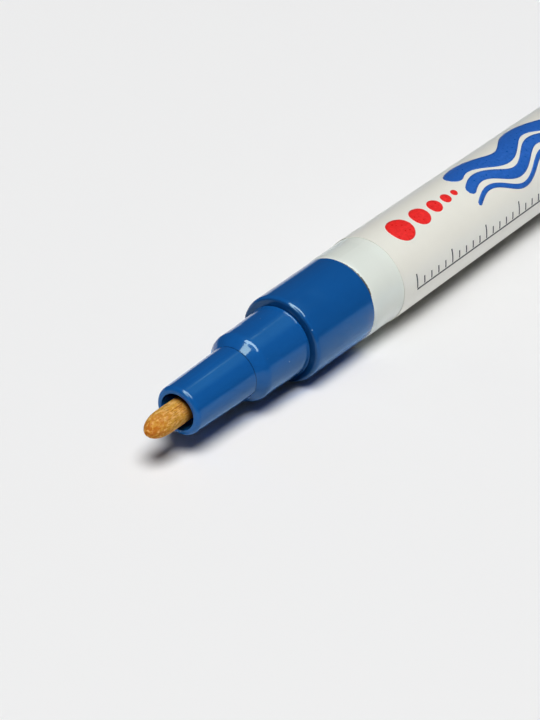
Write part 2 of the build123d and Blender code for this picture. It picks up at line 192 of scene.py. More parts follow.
class StageSettings(PropertyGroup):
    """Floor, light and camera."""

    floor: colour_property("Floor", "Pale floor and backdrop", (0.863, 0.863, 0.863))
    glow: share_property("Glow", "Share of the barrel's glow taken off the floor beside it", 0.14)
    glow_foot: share_property("Glow at its foot", "Share taken off close to the barrel", 0.42)
    # Painted warmth on the floor beside the blue end, taking off the bluish light the moulding bounces
    # onto it
    warm: colour_property("Warm floor", "Floor beside the blue end", (0.876, 0.863, 0.840))
    # Painted bluish shadow on the floor at the foot of the blue end
    foot_shadow_tint: colour_property("Blush", "Floor at the foot of the blue end", (0.72, 0.78, 0.90))
    core: colour_property("Shadow core", "Floor under the blue end", (0.62, 0.62, 0.53))
    bounce: colour_property("Bounce", "Floor as it lights the blue end", (0.36, 0.36, 0.36))
    near_floor: colour_property("Near floor", "Floor by the blue end, mirrored", (0.47, 0.69, 1.0))
    barrel_floor: colour_property("Barrel's floor", "Floor by the barrel, mirrored", (0.95, 0.95, 1.0))
    far_floor: colour_property("Far floor", "Floor out of the light, mirrored", (0.078, 0.19, 0.365))
    near: length_property("Near", "Floor that is fully lit, from the marker", 0.03)
    far: length_property("Far", "Floor that is out of the light, from the marker", 0.17)
    room: colour_property("Room", "Dim surroundings", (0.035, 0.036, 0.038))
    panel: colour_property("Panel", "Dim panel behind the marker, mirrored", (0.20, 0.484, 0.565))
    panel_edge: angle_property("Panel edge", "Where the panel ends, from the top toward +Y", 27)
    panel_fade: angle_property("Panel fade", "Where the panel has faded out", -37)
    panel_reach: share_property("Panel reach", "How far it leans toward the tail", 0.680)
    strip: colour_property("Strips", "Bright strips on the panel", (0.59, 1.0, 1.0))
    strip_shine: shine_property("Strip shine", 1.53)
    strip_turn: angle_property("Strip turn", "Middle of the strips, from the top toward +Y", 11.4)
    floor_size: length_property("Floor size", "Side of the floor", 40.0)
    light_height: length_property("Light height", "Height of the lights above the marker", 12.0)
    window: slope_property("Window", "Middle of the window, as slopes from straight up", (-0.67, -0.04))
    window_span: slope_property("Window span", "Size of the window, as slopes", (0.54, 0.50))
    window_shine: shine_property("Window shine", 7.2)
    window_tint: colour_property("Window tint", "Colour of the window", (0.90, 1.0, 0.86))
    lamp: slope_property("Lamp", "Middle of the lamp, as slopes from straight up", (-0.34, -0.31))
    lamp_span: slope_property("Lamp span", "Size of the lamp, as slopes", (0.60, 0.60))
    lamp_shine: shine_property("Lamp shine", 16.2)
    screen: slope_property("Screen", "Middle of the lamp's screen, mirrored", (-0.06, -0.22))
    screen_span: slope_property("Screen span", "Size of the screen, as slopes", (0.84, 0.90))
    screen_shine: shine_property("Screen shine", 8.5)
    screen_tint: colour_property("Screen tint", "Colour of the screen", (0.88, 1.0, 1.0))
    lens: FloatProperty(name="Lens", description="Focal length", default=116.96, unit="CAMERA")
    camera: FloatVectorProperty(
        name="Camera", description="Camera's place from the nose's mouth",
        default=(-0.21587, -0.17939, 0.18450), subtype="TRANSLATION", unit="LENGTH",
    )
    sight: FloatVectorProperty(
        name="Line of sight", description="Where the camera looks",
        default=(0.6767, 0.5101, -0.5310), subtype="DIRECTION",
    )


# Node helpers

# A ramp carries values between start and end to values between first and last
Ramp = namedtuple("Ramp", ("start", "end", "first", "last"), defaults=(0, 1))
NOISE_MIDDLE = Ramp(0.35, 0.65)  # where soft noise varies most
NOISE_SPAN = (0.3, 0.7)  # where nearly all of it lies


def feed(tree, value, socket):
    """Link a node's output to a socket, or set a plain value on it."""
    if isinstance(value, bpy.types.NodeSocket):
        tree.links.new(value, socket)
    else:
        socket.default_value = value


def add_node(tree, kind, inputs, **settings):
    """Add a node, set its options and feed its sockets."""
    node = tree.nodes.new(kind)
    for name, value in settings.items():
        setattr(node, name, value)
    for name, value in inputs.items():
        feed(tree, value, node.inputs[name])
    return node


def opaque(colour):
    """A property's colour with full alpha."""
    return (*colour, 1.0)


def start_material(name):
    """A new material with one Principled shader."""
    material = bpy.data.materials.new(name)
    material.use_nodes = True
    tree = material.node_tree
    tree.nodes.clear()
    shader = tree.nodes.new("ShaderNodeBsdfPrincipled")
    output = tree.nodes.new("ShaderNodeOutputMaterial")
    tree.links.new(shader.outputs["BSDF"], output.inputs["Surface"])
    return material, tree, shader


def millimetres(tree):
    """The surface's place in millimetres, in the marker's own frame."""
    place = tree.nodes.new("ShaderNodeTexCoord").outputs["Object"]
    scaled = add_node(tree, "ShaderNodeVectorMath", {0: place, "Scale": 1 / MM}, operation="SCALE")
    return scaled.outputs["Vector"]


def stretched(tree, place, scale, rotation=(0, 0, 0)):
    """A place scaled along each axis and then turned."""
    inputs = {"Vector": place, "Scale": scale, "Rotation": rotation}
    return add_node(tree, "ShaderNodeMapping", inputs).outputs["Vector"]


def separated(tree, place):
    """A place's X, Y and Z."""
    return add_node(tree, "ShaderNodeSeparateXYZ", {"Vector": place}).outputs


def cloud(tree, place, size, detail):
    """Soft noise from 0 to 1 with features of the given size."""
    inputs = {"Vector": place, "Scale": 1 / size, "Detail": detail}
    return add_node(tree, "ShaderNodeTexNoise", inputs).outputs["Fac"]


def remap(tree, value, ramp, origin=0):
    """A value carried along a ramp that is measured from an origin, and clamped."""
    inputs = {
        "Value": value,
        "From Min": origin + ramp.start,
        "From Max": origin + ramp.end,
        "To Min": ramp.first,
        "To Max": ramp.last,
    }
    return add_node(tree, "ShaderNodeMapRange", inputs).outputs["Result"]


def sums(tree, operation, first, second):
    """One step of arithmetic."""
    inputs = {0: first, 1: second}
    return add_node(tree, "ShaderNodeMath", inputs, operation=operation).outputs["Value"]


def product(tree, first, *others):
    """Shares multiplied together."""
    for other in others:
        first = sums(tree, "MULTIPLY", first, other)
    return first


def within(tree, value, middle, reach):
    """One where a value is within reach of the middle, and nothing elsewhere."""
    inputs = {0: value, 1: middle, 2: reach}
    return add_node(tree, "ShaderNodeMath", inputs, operation="COMPARE").outputs["Value"]


def blend_colours(tree, factor, first, second):
    """Two colours mixed by a factor."""
    inputs = {MIX_FACTOR: factor, MIX_A: first, MIX_B: second}
    return add_node(tree, "ShaderNodeMix", inputs, data_type="RGBA").outputs[MIX_RESULT]


def mottled(tree, mottle, colour, shade):
    """A colour that a noise darkens in places, down to the given share of it."""
    darker = tuple(shade * part for part in colour)
    return blend_colours(tree, remap(tree, mottle, NOISE_MIDDLE), opaque(darker), opaque(colour))


def vary_roughness(tree, shader, mottle, first, last):
    """Let a noise carry the shader's roughness from a first value to a last one."""
    ramp = Ramp(*NOISE_SPAN, first, last)
    feed(tree, remap(tree, mottle, ramp), shader.inputs["Roughness"])


def specks(tree, place, spacing, size):
    """A factor that is one inside small dots, one to each cell of the given spacing."""
    cells = add_node(tree, "ShaderNodeTexVoronoi", {"Vector": place, "Scale": 1 / spacing})
    edge = Ramp(0.5 * size / spacing, size / spacing, 1, 0)
    return remap(tree, cells.outputs["Distance"], edge)


def add_bump(tree, shader, height, depth):
    """Feed a height from 0 to 1, worth the given depth, to the shader's normal."""
    bump = add_node(tree, "ShaderNodeBump", {"Height": height, "Distance": depth, "Strength": 1.0})
    feed(tree, bump.outputs["Normal"], shader.inputs["Normal"])


# Materials, whose sizes are in millimetres

# Fibre: what each noise adds, and where along the nib, from its tip or from the nose's mouth
DRY_TUFTS = Ramp(0.45, 0.6, 0, 0.8)
STAINS = Ramp(0.42, 0.53, 0, 0.95)
BINDER_SHADE = Ramp(0.49, 0.36, 0, 0.85)
STAINED_FROM_TIP = Ramp(0.4, 4.4, 1, 0.15)
BOUND_FROM_TIP = Ramp(2.0, 5.0, 0.25, 1)
# Painted shade on the nib, growing from 0.6 mm outside the nose's mouth to 0.5 mm inside it
ROOT_SHADE_FROM_MOUTH = Ramp(-0.6, 0.5, 0, 0.78)


def fibre_material(nib):
    """Felted fibre: lengthwise strands, dark binder and shade between them, a worn orange tip, and
    painted shade where the nib leaves the nose.
    """
    material, tree, shader = start_material("nib_fibre_felt")
    place = millimetres(tree)
    tufts = cloud(tree, stretched(tree, place, (0.5, 1, 1)), size=0.34, detail=4)
    stains = cloud(tree, stretched(tree, place, (0.7, 1, 1)), size=0.4, detail=5)
    threads = cloud(tree, stretched(tree, place, (0.16, 1, 1)), size=0.15, detail=3)
    axial = separated(tree, place)["X"]
    tip_x = NIB_LOW.x / MM
    dry = remap(tree, tufts, DRY_TUFTS)
    colour = blend_colours(tree, dry, opaque(nib.fibre), opaque(nib.pale))
    stained = product(tree, remap(tree, stains, STAINS), remap(tree, axial, STAINED_FROM_TIP, tip_x))
    colour = blend_colours(tree, stained, colour, opaque(nib.tip))
    # Dark binder and painted shade between the threads
    gaps = product(tree, remap(tree, threads, BINDER_SHADE), remap(tree, axial, BOUND_FROM_TIP, tip_x))
    colour = blend_colours(tree, gaps, colour, opaque(nib.dark))
    # Painted shade where the nib enters the nose's mouth
    root_shade = remap(tree, axial, ROOT_SHADE_FROM_MOUTH, MOUTH.x / MM)
    colour = blend_colours(tree, root_shade, colour, opaque(nib.root))
    feed(tree, colour, shader.inputs["Base Color"])
    shader.inputs["Subsurface Weight"].default_value = 0.5
    shader.inputs["Subsurface Radius"].default_value = (1.0, 0.45, 0.15)
    shader.inputs["Subsurface Scale"].default_value = nib.depth
    shader.inputs["Specular IOR Level"].default_value = 0.1
    vary_roughness(tree, shader, tufts, first=0.85, last=0.6)
    add_bump(tree, shader, sums(tree, "ADD", tufts, threads), depth=0.035 * MM)
    return material


# Blue plastic: its marks, and painted shade on the collar and in the crease, along the marker from the
# collar's face
SCRATCH_TURN = (0.5, 0.9, 0.7)
SCRATCH_SHARE = 0.8  # how strong scratches are beside dust
MARK_SHARE = 0.8  # how far both cover the plastic
MARK_ROUGHNESS = 0.4
SMUDGE_SPAN = (0.45, 0.75)
SMUDGE_ROUGHNESS = 0.06
CREASE_REACH = 0.06
FACE_SHADE_START = Ramp(-0.06, -0.03)
FACE_SHADE_FLANK = Ramp(0, 0.25, 1, 0.17)
FACE_SHADE_END = 1  # past the barrel's front, so that the plug and the cap stay bright


def blue_material(moulding):
    """Glossy blue moulding with faint flow marks, dust specks and hairline scratches, and painted shade
    in the crease at the cone's root and on the collar's face.
    """
    material, tree, shader = start_material("moulded_blue")
    place = millimetres(tree)
    flow = cloud(tree, stretched(tree, place, (0.4, 1, 1)), size=5, detail=3)
    dust = specks(tree, place, spacing=3.0, size=0.14)
    scratch_place = stretched(tree, place, (1, 0.05, 1), SCRATCH_TURN)
    scratches = specks(tree, scratch_place, spacing=2.6, size=0.06)
    marks = sums(tree, "MAXIMUM", dust, product(tree, scratches, SCRATCH_SHARE))
    flowing = remap(tree, flow, NOISE_MIDDLE)
    body = blend_colours(tree, flowing, opaque(moulding.deep), opaque(moulding.blue))
    axial = separated(tree, place)["X"]
    # Painted shade: a thin dark ring in the crease at the cone's root
    crease_shade = within(tree, axial, (MOUTH.x + moulding.crease) / MM, CREASE_REACH)
    body = blend_colours(tree, crease_shade, body, opaque(moulding.shade_and_grime))
    # Painted shade on the collar's face, fading to a faint darkening along its flank up to just past
    # the barrel's front
    face_x = COLLAR_FACE / MM
    face_shaded = product(
        tree,
        remap(tree, axial, FACE_SHADE_START, face_x),
        remap(tree, axial, FACE_SHADE_FLANK, face_x),
        sums(tree, "LESS_THAN", axial, BARREL_FRONT / MM + FACE_SHADE_END),
    )
    body = blend_colours(tree, face_shaded, body, opaque(moulding.face_shade))
    colour = blend_colours(tree, product(tree, marks, MARK_SHARE), body, opaque(moulding.dust))
    feed(tree, colour, shader.inputs["Base Color"])
    smudging = Ramp(*SMUDGE_SPAN, moulding.gloss, moulding.gloss + SMUDGE_ROUGHNESS)
    smudge = remap(tree, cloud(tree, place, size=3.5, detail=4), smudging)
    roughness = sums(tree, "ADD", smudge, product(tree, marks, MARK_ROUGHNESS))
    feed(tree, roughness, shader.inputs["Roughness"])
    shader.inputs["Specular IOR Level"].default_value = 0.62
    shader.inputs["Specular Tint"].default_value = opaque(moulding.sheen)
    add_bump(tree, shader, marks, depth=0.001 * MM)
    return material


# Grime and painted shade in the barrel's seam: on part of the way round the marker only, in patches,
# and across the seam's width
SEAM_SHADE_ABOVE = Ramp(math.radians(6), math.radians(-30))
SEAM_SHADE_BELOW = Ramp(math.radians(-72), math.radians(-56))
SEAM_PATCHES = Ramp(0.36, 0.5, 0.6, 1)
SEAM_EDGE = Ramp(-0.3, 0, 0.95, 0)


def lacquer_material(barrel):
    """White lacquer, with patches of grime and painted shade in the seam where the barrel is rolled on.
    """
    material, tree, shader = start_material("barrel_lacquer")
    place = millimetres(tree)
    axes = separated(tree, place)
    body = mottled(tree, cloud(tree, place, size=2.5, detail=4), barrel.lacquer, shade=0.99)
    turn = sums(tree, "ARCTAN2", axes["Y"], sums(tree, "SUBTRACT", axes["Z"], AXIS_HEIGHT / MM))
    # The seam's mark shows only from near the top to low on the -Y side: painted shade along with the
    # grime
    shaded_turns = product(tree, remap(tree, turn, SEAM_SHADE_ABOVE), remap(tree, turn, SEAM_SHADE_BELOW))
    patches = remap(tree, cloud(tree, place, size=0.4, detail=3), SEAM_PATCHES)
    behind_front = sums(tree, "SUBTRACT", axes["X"], BARREL_FRONT / MM)
    depth = sums(tree, "DIVIDE", behind_front, barrel.seam / MM)
    over = sums(tree, "SUBTRACT", depth, product(tree, shaded_turns, patches))
    shade_and_grime = remap(tree, over, SEAM_EDGE)
    feed(tree, blend_colours(tree, shade_and_grime, body, opaque(barrel.shade_and_grime)), shader.inputs["Base Color"])
    shader.inputs["Roughness"].default_value = 0.26
    return material


def film_material(barrel):
    """Warm white label film, faintly mottled, with shallow bubbles under it."""
    material, tree, shader = start_material("label_film_white")
    place = millimetres(tree)
    mottle = cloud(tree, place, size=1.8, detail=4)
    feed(tree, mottled(tree, mottle, barrel.film, shade=0.99), shader.inputs["Base Color"])
    vary_roughness(tree, shader, mottle, first=0.3, last=0.34)
    add_bump(tree, shader, cloud(tree, place, size=4, detail=2), depth=0.0004 * MM)
    return material


# Ink: where a noise makes it thin, and how thin ink is paler
THIN_INK = Ramp(0.4, 0.7)
THIN_GAIN = 1.18
THIN_LIFT = 0.006


def ink_material(name, colour):
    """Printed ink with a slight mottle."""
    material, tree, shader = start_material(name)
    mottle = cloud(tree, millimetres(tree), size=0.5, detail=4)
    thin = tuple(min(1.0, THIN_GAIN * part + THIN_LIFT) for part in colour)
    body = blend_colours(tree, remap(tree, mottle, THIN_INK), opaque(colour), opaque(thin))
    feed(tree, body, shader.inputs["Base Color"])
    vary_roughness(tree, shader, mottle, first=0.26, last=0.4)
    add_bump(tree, shader, mottle, depth=0.002 * MM)
    return material


def natural_material(valve):
    """Milky unpigmented plastic."""
    material, tree, shader = start_material("natural_plastic_milky")
    place = millimetres(tree)
    haze = cloud(tree, place, size=1.5, detail=3)
    feed(tree, mottled(tree, haze, valve.plastic, shade=0.9), shader.inputs["Base Color"])
    vary_roughness(tree, shader, haze, first=0.3, last=0.45)
    add_bump(tree, shader, cloud(tree, place, size=0.2, detail=2), depth=0.003 * MM)
    return material


def steel_material(name, valve, grain):
    """Bright steel, mottled at the given grain."""
    material, tree, shader = start_material(name)
    mottle = cloud(tree, millimetres(tree), size=grain, detail=4)
    feed(tree, mottled(tree, mottle, valve.steel, shade=0.8), shader.inputs["Base Color"])
    shader.inputs["Metallic"].default_value = 1.0
    vary_roughness(tree, shader, mottle, first=0.12, last=0.28)
    add_bump(tree, shader, mottle, depth=0.002 * MM)
    return material


# Mesh helpers

def coat(node_names, material):
    """Give CAD nodes a material."""
    for name in node_names:
        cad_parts[name].material_slots[0].material = material


def link_object(name, data):
    """A new object that is part of the scene."""
    made = bpy.data.objects.new(name, data)
    bpy.context.scene.collection.objects.link(made)
    return made


def finish_mesh(name, mesh, material):
    """Turn a bmesh into mesh data with one material."""
    data = bpy.data.meshes.new(name)
    mesh.to_mesh(data)
    mesh.free()
    data.materials.append(material)
    return data


def add_piece(name, mesh, material, body):
    """Turn a finished bmesh into a smooth piece that rides on a body."""
    bmesh.ops.recalc_face_normals(mesh, faces=mesh.faces[:])
    data = finish_mesh(name, mesh, material)
    for face in data.polygons:
        face.use_smooth = True
    piece = link_object(name, data)
    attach(piece, body)
    return piece


def bridge(mesh, rows):
    """Join closed rows of vertices, one to the next."""
    for near, far in zip(rows, rows[1:]):
        count = len(near)
        for i in range(count):
            after = (i + 1) % count
            mesh.faces.new((near[i], near[after], far[after], far[i]))


def ring_point(x, radius, turn):
    """A point round the marker's axis, turned from the top toward +Y."""
    return Vector((x, radius * math.sin(turn), AXIS_HEIGHT + radius * math.cos(turn)))


# The nib

NIB_SIDES = 144
NIB_TIP_ROWS = 26
NIB_ROD_ROWS = 70
COARSE_SHARE = 0.7  # strands
FINE_SHARE = 0.3  # threads in them
FINE_SCALE = 2.3
GROOVE_CONTRAST = 1.6


def nib_profile(nib):
    """Station and radius from just behind the tip to the rear chamfer."""
    rows = []
    for step in range(1, NIB_TIP_ROWS + 1):
        angle = math.pi / 2 * step / NIB_TIP_ROWS
        x = NIB_LOW.x + nib.tip_length * (1 - math.cos(angle))
        rows.append((x, NIB_RADIUS * math.sin(angle)))
    rod_start = NIB_LOW.x + nib.tip_length
    rod_end = NIB_HIGH.x - nib.chamfer
    for step in range(1, NIB_ROD_ROWS + 1):
        rows.append((rod_start + (rod_end - rod_start) * step / NIB_ROD_ROWS, NIB_RADIUS))
    rows.append((NIB_HIGH.x, NIB_RADIUS - nib.chamfer))
    return rows


def strand_groove(nib, point):
    """Depth of the groove between strands at a point, from none to the full relief."""
    across = 1 / nib.strand_width
    spot = Vector((point.x / nib.strand_length, point.y * across, point.z * across))
    height = COARSE_SHARE * noise.noise(spot) + FINE_SHARE * noise.noise(FINE_SCALE * spot)
    return nib.relief * (0.5 - 0.5 * max(-1.0, min(1.0, GROOVE_CONTRAST * height)))


def build_nib(nib):
    """A bullet-nosed rod of strands, closed at both ends."""
    mesh = bmesh.new()
    rows = []
    for x, radius in nib_profile(nib):
        row = []
        for side in range(NIB_SIDES):
            turn = 2 * math.pi * side / NIB_SIDES
            depth = strand_groove(nib, ring_point(x, radius, turn)) * radius / NIB_RADIUS
            row.append(mesh.verts.new(ring_point(x, radius - depth, turn)))
        rows.append(row)
    bridge(mesh, rows)
    tip = mesh.verts.new((NIB_LOW.x, 0, AXIS_HEIGHT))
    for i in range(NIB_SIDES):
        mesh.faces.new((tip, rows[0][i], rows[0][(i + 1) % NIB_SIDES]))
    mesh.faces.new(rows[-1])
    piece = add_piece("fibre_nib", mesh, fibre_material(nib), "nib")
    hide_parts("nib")


# The spring

WIRE_SIDES = 12
STEPS_PER_TURN = 36
CLOSED_PITCH = 1.05  # of the wire, in the turn at each end
WIRE_GRAIN = 0.08
BALL_GRAIN = 0.6


def spring_path(valve):
    """Points along the wire's middle: a closed turn, open turns, and a closed turn."""
    half_wire = valve.wire / 2
    start = SPRING_LOW.x + half_wire
    length = SPRING_HIGH.x - SPRING_LOW.x - valve.wire
    turns = valve.turns + 2
    closed_pitch = CLOSED_PITCH * valve.wire
    open_pitch = (length - 2 * closed_pitch) / valve.turns
    points = []
    for step in range(turns * STEPS_PER_TURN + 1):
        turn = step / STEPS_PER_TURN
        opened = min(max(turn - 1, 0), valve.turns)
        x = start + closed_pitch * (turn - opened) + open_pitch * opened
        points.append(ring_point(x, SPRING_RADIUS - half_wire, 2 * math.pi * turn))
    return points


def build_spring(valve):
    """A closed wire swept along the coil, at one fixed length."""
    points = spring_path(valve)
    mesh = bmesh.new()
    rows = []
    for i, point in enumerate(points):
        along = (points[min(i + 1, len(points) - 1)] - points[max(i - 1, 0)]).normalized()
        outward = (point - Vector((point.x, 0, AXIS_HEIGHT))).normalized()
        sideways = along.cross(outward).normalized()
        row = []
        for side in range(WIRE_SIDES):
            angle = 2 * math.pi * side / WIRE_SIDES
            offset = outward * math.cos(angle) + sideways * math.sin(angle)
            row.append(mesh.verts.new(point + valve.wire / 2 * offset))
        rows.append(row)
    bridge(mesh, rows)
    mesh.faces.new(rows[0])
    mesh.faces.new(rows[-1])
    steel = steel_material("spring_wire", valve, WIRE_GRAIN)
    piece = add_piece("wire_spring", mesh, steel, "casing")
    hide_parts("valve_spring")
    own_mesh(piece)


# The print

PRINT_SIDES = 2  # the design is printed twice round the film
FACET = 0.35 * MM  # longest step of ink round the film
NUDGE = 0.001  # share of a stroke over which its direction is taken
LEAST_END = 0.02  # share of a stroke's width that is left at its round ends
WAVE_START = 24 * MM
WAVE_END = 60 * MM
WAVE_STEPS = 150
WAVES = (  # middle line and width
    (5.6 * MM, 3.4 * MM),
    (1.9 * MM, 2.0 * MM),
    (-0.6 * MM, 0.9 * MM),
)
DOTS = (  # place along the film and size
    (6.4 * MM, 5.0 * MM),
    (11.8 * MM, 3.8 * MM),
    (16.0 * MM, 2.8 * MM),
    (19.2 * MM, 2.0 * MM),
    (21.6 * MM, 1.3 * MM),
)
DOT_LINE = 3.6 * MM
DOT_STEPS = 40
RULE_LINE = -6.6 * MM
RULE_START = 3.6 * MM
RULE_END = 59.6 * MM
RULE_WIDTH = 0.3 * MM
RULE_STEPS = 60
TICK_HEIGHT = 1.3 * MM
LONG_TICK_HEIGHT = 2.4 * MM
LONG_TICK_EVERY = 5
TICK_STEPS = 8


def film_point(settings, along, around, height, half):
    """A point over the film: distance from its front edge, arc from the print's middle, height."""
    turn = settings.turn + around / LABEL_RADIUS + 2 * math.pi * half / PRINT_SIDES
    return ring_point(LABEL_LOW.x + along, LABEL_RADIUS + height, turn)


def add_stroke(mesh, settings, half, middle, half_width, steps):
    """One closed stroke of ink. middle(t) and half_width(t) run from t = 0 to 1."""
    widest = max(half_width(step / steps) for step in range(steps + 1))
    lanes = max(2, math.ceil(2 * widest / FACET))
    tops = []
    roots = []
    for step in range(steps + 1):
        t = step / steps
        here = Vector(middle(t))
        ahead = Vector(middle(t + NUDGE)) - Vector(middle(t - NUDGE))
        across = Vector((-ahead.y, ahead.x)).normalized()
        top = []
        root = []
        for lane in range(lanes + 1):
            spot = here + across * half_width(t) * (2 * lane / lanes - 1)
            top.append(mesh.verts.new(film_point(settings, spot.x, spot.y, settings.ink, half)))
            root.append(mesh.verts.new(film_point(settings, spot.x, spot.y, -settings.root, half)))
        tops.append(top)
        roots.append(root)
    loops = [top + root[::-1] for top, root in zip(tops, roots)]
    bridge(mesh, loops)
    for top, root in ((tops[0], roots[0]), (tops[-1], roots[-1])):
        for lane in range(lanes):
            mesh.faces.new((top[lane], top[lane + 1], root[lane + 1], root[lane]))


def round_ends(half_width, length):
    """A stroke's half width that closes in a round at both ends."""
    def at(t):
        left = min(t, 1 - t) * length
        if left >= half_width:
            return half_width
        reach = 1 - max(left, 0) / half_width
        return max(half_width * math.sqrt(max(0.0, 1 - reach * reach)), LEAST_END * half_width)
    return at


def even(half_width):
    """A stroke's half width that stays the same."""
    return lambda t: half_width


def straight(start, end):
    """A straight middle line between two places on the film."""
    first = Vector(start)
    last = Vector(end)
    return lambda t: first.lerp(last, t)


def wavy(settings, line, length):
    """A middle line that swings to both sides of a line along the film."""
    def at(t):
        swing = math.sin(2 * math.pi * t * length / settings.wave_length)
        return (WAVE_START + t * length, line + settings.wave_height * swing)
    return at


def build_waves(settings, material):
    """Three wavy strokes of falling width."""
    mesh = bmesh.new()
    length = WAVE_END - WAVE_START
    for half in range(PRINT_SIDES):
        for line, width in WAVES:
            middle = wavy(settings, line, length)
            add_stroke(mesh, settings, half, middle, round_ends(width / 2, length), WAVE_STEPS)
    add_piece("print_waves", mesh, material, "casing")


def build_dots(settings, material):
    """A row of dots of falling size."""
    mesh = bmesh.new()
    for half in range(PRINT_SIDES):
        for along, size in DOTS:
            middle = straight((along - size / 2, DOT_LINE), (along + size / 2, DOT_LINE))
            add_stroke(mesh, settings, half, middle, round_ends(size / 2, size), DOT_STEPS)
    add_piece("print_dots", mesh, material, "casing")


def build_rule(settings, material):
    """A thin line along the film with short and long ticks."""
    mesh = bmesh.new()
    ticks = round((RULE_END - RULE_START) / settings.tick_step)
    thin = even(RULE_WIDTH / 2)
    foot = RULE_LINE + RULE_WIDTH
    for half in range(PRINT_SIDES):
        base = straight((RULE_START, RULE_LINE), (RULE_END, RULE_LINE))
        add_stroke(mesh, settings, half, base, thin, RULE_STEPS)
        for tick in range(ticks + 1):
            along = RULE_START + tick * settings.tick_step
            height = TICK_HEIGHT if tick % LONG_TICK_EVERY else LONG_TICK_HEIGHT
            middle = straight((along, foot), (along, foot + height))
            add_stroke(mesh, settings, half, middle, thin, TICK_STEPS)
    add_piece("print_rule", mesh, material, "casing")


# The stage

# Stretches of floor along the marker, in millimetres from the nose's mouth
LIT_AHEAD = Ramp(-2, 4, 1, 0)
LIT_BY_NECK = Ramp(28, 40)
BLUE_START = Ramp(2, 8)
BLUE_END = Ramp(34, 44, 1, 0)
GLOW_START = Ramp(28, 46)
GLOW_FOOT_START = Ramp(40, 54)
GLOW_END = Ramp(95, 120, 1, 0)
SHADOW_EDGE = Ramp(8, 28, 4, 0)  # how far it lies inside the foot along the blue end

# Stretches of floor across the marker, from its axis, and distances over which a share halves
FOOT = 5
FOOT_SPAN = (-2, 6)
CORE_START = Ramp(-4, -2)
CORE_END = Ramp(0, 6, 1, 0)
WIDE_HALVING = 7.6
NARROW_HALVING = 1.5
FOOT_SHADOW_HALVING = 0.6

# The mirrored floor, which reaches further along the marker than across it
MIRROR_SQUASH = (0.5, 1, 1)
BARREL_LEAN = 0.685  # how the edge of the barrel's floor slants
BARREL_EDGE = Ramp(37.5, 40)
BARREL_SIDE = Ramp(-26, -15)

# The mirrored panel: its soft edges, and the strips on it as shares of the way to the tail
PANEL_RISE = math.radians(20)
PANEL_FALL = math.radians(18)
PANEL_LEAN = 0.006
STRIP_REACH = math.radians(2.8)
STRIPS = (
    (Ramp(0.614, 0.618), Ramp(0.625, 0.629, 1, 0)),
    (Ramp(0.668, 0.672), Ramp(0.6755, 0.680, 1, 0)),
)

BLACK = (0, 0, 0, 1)


def add_lamp(name, stage, shape, middle, span, shine):
    """A lamp facing down, placed and sized by slopes seen from the marker."""
    lamp = bpy.data.lights.new(name, "AREA")
    lamp.shape = shape
    lamp.size = span[0] * stage.light_height
    lamp.size_y = span[1] * stage.light_height
    face = lamp.size * lamp.size_y * (math.pi / 4 if shape == "ELLIPSE" else 1)
    lamp.energy = shine * math.pi * face
    light = link_object(name, lamp)
    light.location = MOUTH + stage.light_height * Vector((middle[0], middle[1], 1))
    return light


def beside_share(tree, across, halving, most):
    """A share that is most at the marker's foot on the -Y side and halves over a distance."""
    halvings = sums(tree, "DIVIDE", sums(tree, "ADD", across, FOOT), -halving)
    away = sums(tree, "MINIMUM", sums(tree, "POWER", 0.5, halvings), 1)
    return product(tree, away, remap(tree, across, Ramp(*FOOT_SPAN, most, 0)))


def seen_floor(tree, stage, axes):
    """The floor as the eye sees it, with painted light: warmed beside the blue end, a painted bluish
    shadow and darker shadow core at its foot, and painted shade that takes glow off beside the barrel.
    """
    by_blue = product(tree, remap(tree, axes["X"], BLUE_START), remap(tree, axes["X"], BLUE_END))
    # Painted warmth beside the blue end, taking off its bluish bounced light
    beside = product(tree, beside_share(tree, axes["Y"], WIDE_HALVING, 1), by_blue)
    colour = blend_colours(tree, beside, opaque(stage.floor), opaque(stage.warm))
    past_edge = sums(tree, "SUBTRACT", axes["Y"], remap(tree, axes["X"], SHADOW_EDGE))
    # Painted bluish shadow along the shadow's edge at the foot of the blue end
    at_edge = product(tree, beside_share(tree, past_edge, FOOT_SHADOW_HALVING, 1), by_blue)
    colour = blend_colours(tree, at_edge, colour, opaque(stage.foot_shadow_tint))
    inside = product(tree, remap(tree, past_edge, CORE_START), remap(tree, axes["Y"], CORE_END))
    colour = blend_colours(tree, product(tree, inside, by_blue), colour, opaque(stage.core))
    wide = beside_share(tree, axes["Y"], WIDE_HALVING, stage.glow)
    wide = product(tree, wide, remap(tree, axes["X"], GLOW_START))
    narrow = beside_share(tree, axes["Y"], NARROW_HALVING, stage.glow_foot)
    narrow = product(tree, narrow, remap(tree, axes["X"], GLOW_FOOT_START))
    glow = product(tree, sums(tree, "ADD", wide, narrow), remap(tree, axes["X"], GLOW_END))
    return blend_colours(tree, glow, colour, BLACK)


def bouncing_floor(tree, stage, axes):
    """The floor as it lights the marker: dimmer beside the blue end."""
    ahead = remap(tree, axes["X"], LIT_AHEAD)
    lit = sums(tree, "MAXIMUM", ahead, remap(tree, axes["X"], LIT_BY_NECK))
    return blend_colours(tree, lit, opaque(stage.bounce), opaque(stage.floor))


def mirrored_floor(tree, stage, place, axes):
    """The floor in reflections: it falls off away from the marker, out of the light."""
    spot = stretched(tree, place, MIRROR_SQUASH)
    distance = add_node(tree, "ShaderNodeVectorMath", {0: spot}, operation="LENGTH").outputs["Value"]
    fall = remap(tree, distance, Ramp(stage.near / MM, stage.far / MM))
    slant = sums(tree, "ADD", axes["X"], product(tree, axes["Y"], BARREL_LEAN))
    by_barrel = product(tree, remap(tree, slant, BARREL_EDGE), remap(tree, axes["Y"], BARREL_SIDE))
    near = blend_colours(tree, by_barrel, opaque(stage.near_floor), opaque(stage.barrel_floor))
    return blend_colours(tree, fall, near, opaque(stage.far_floor))


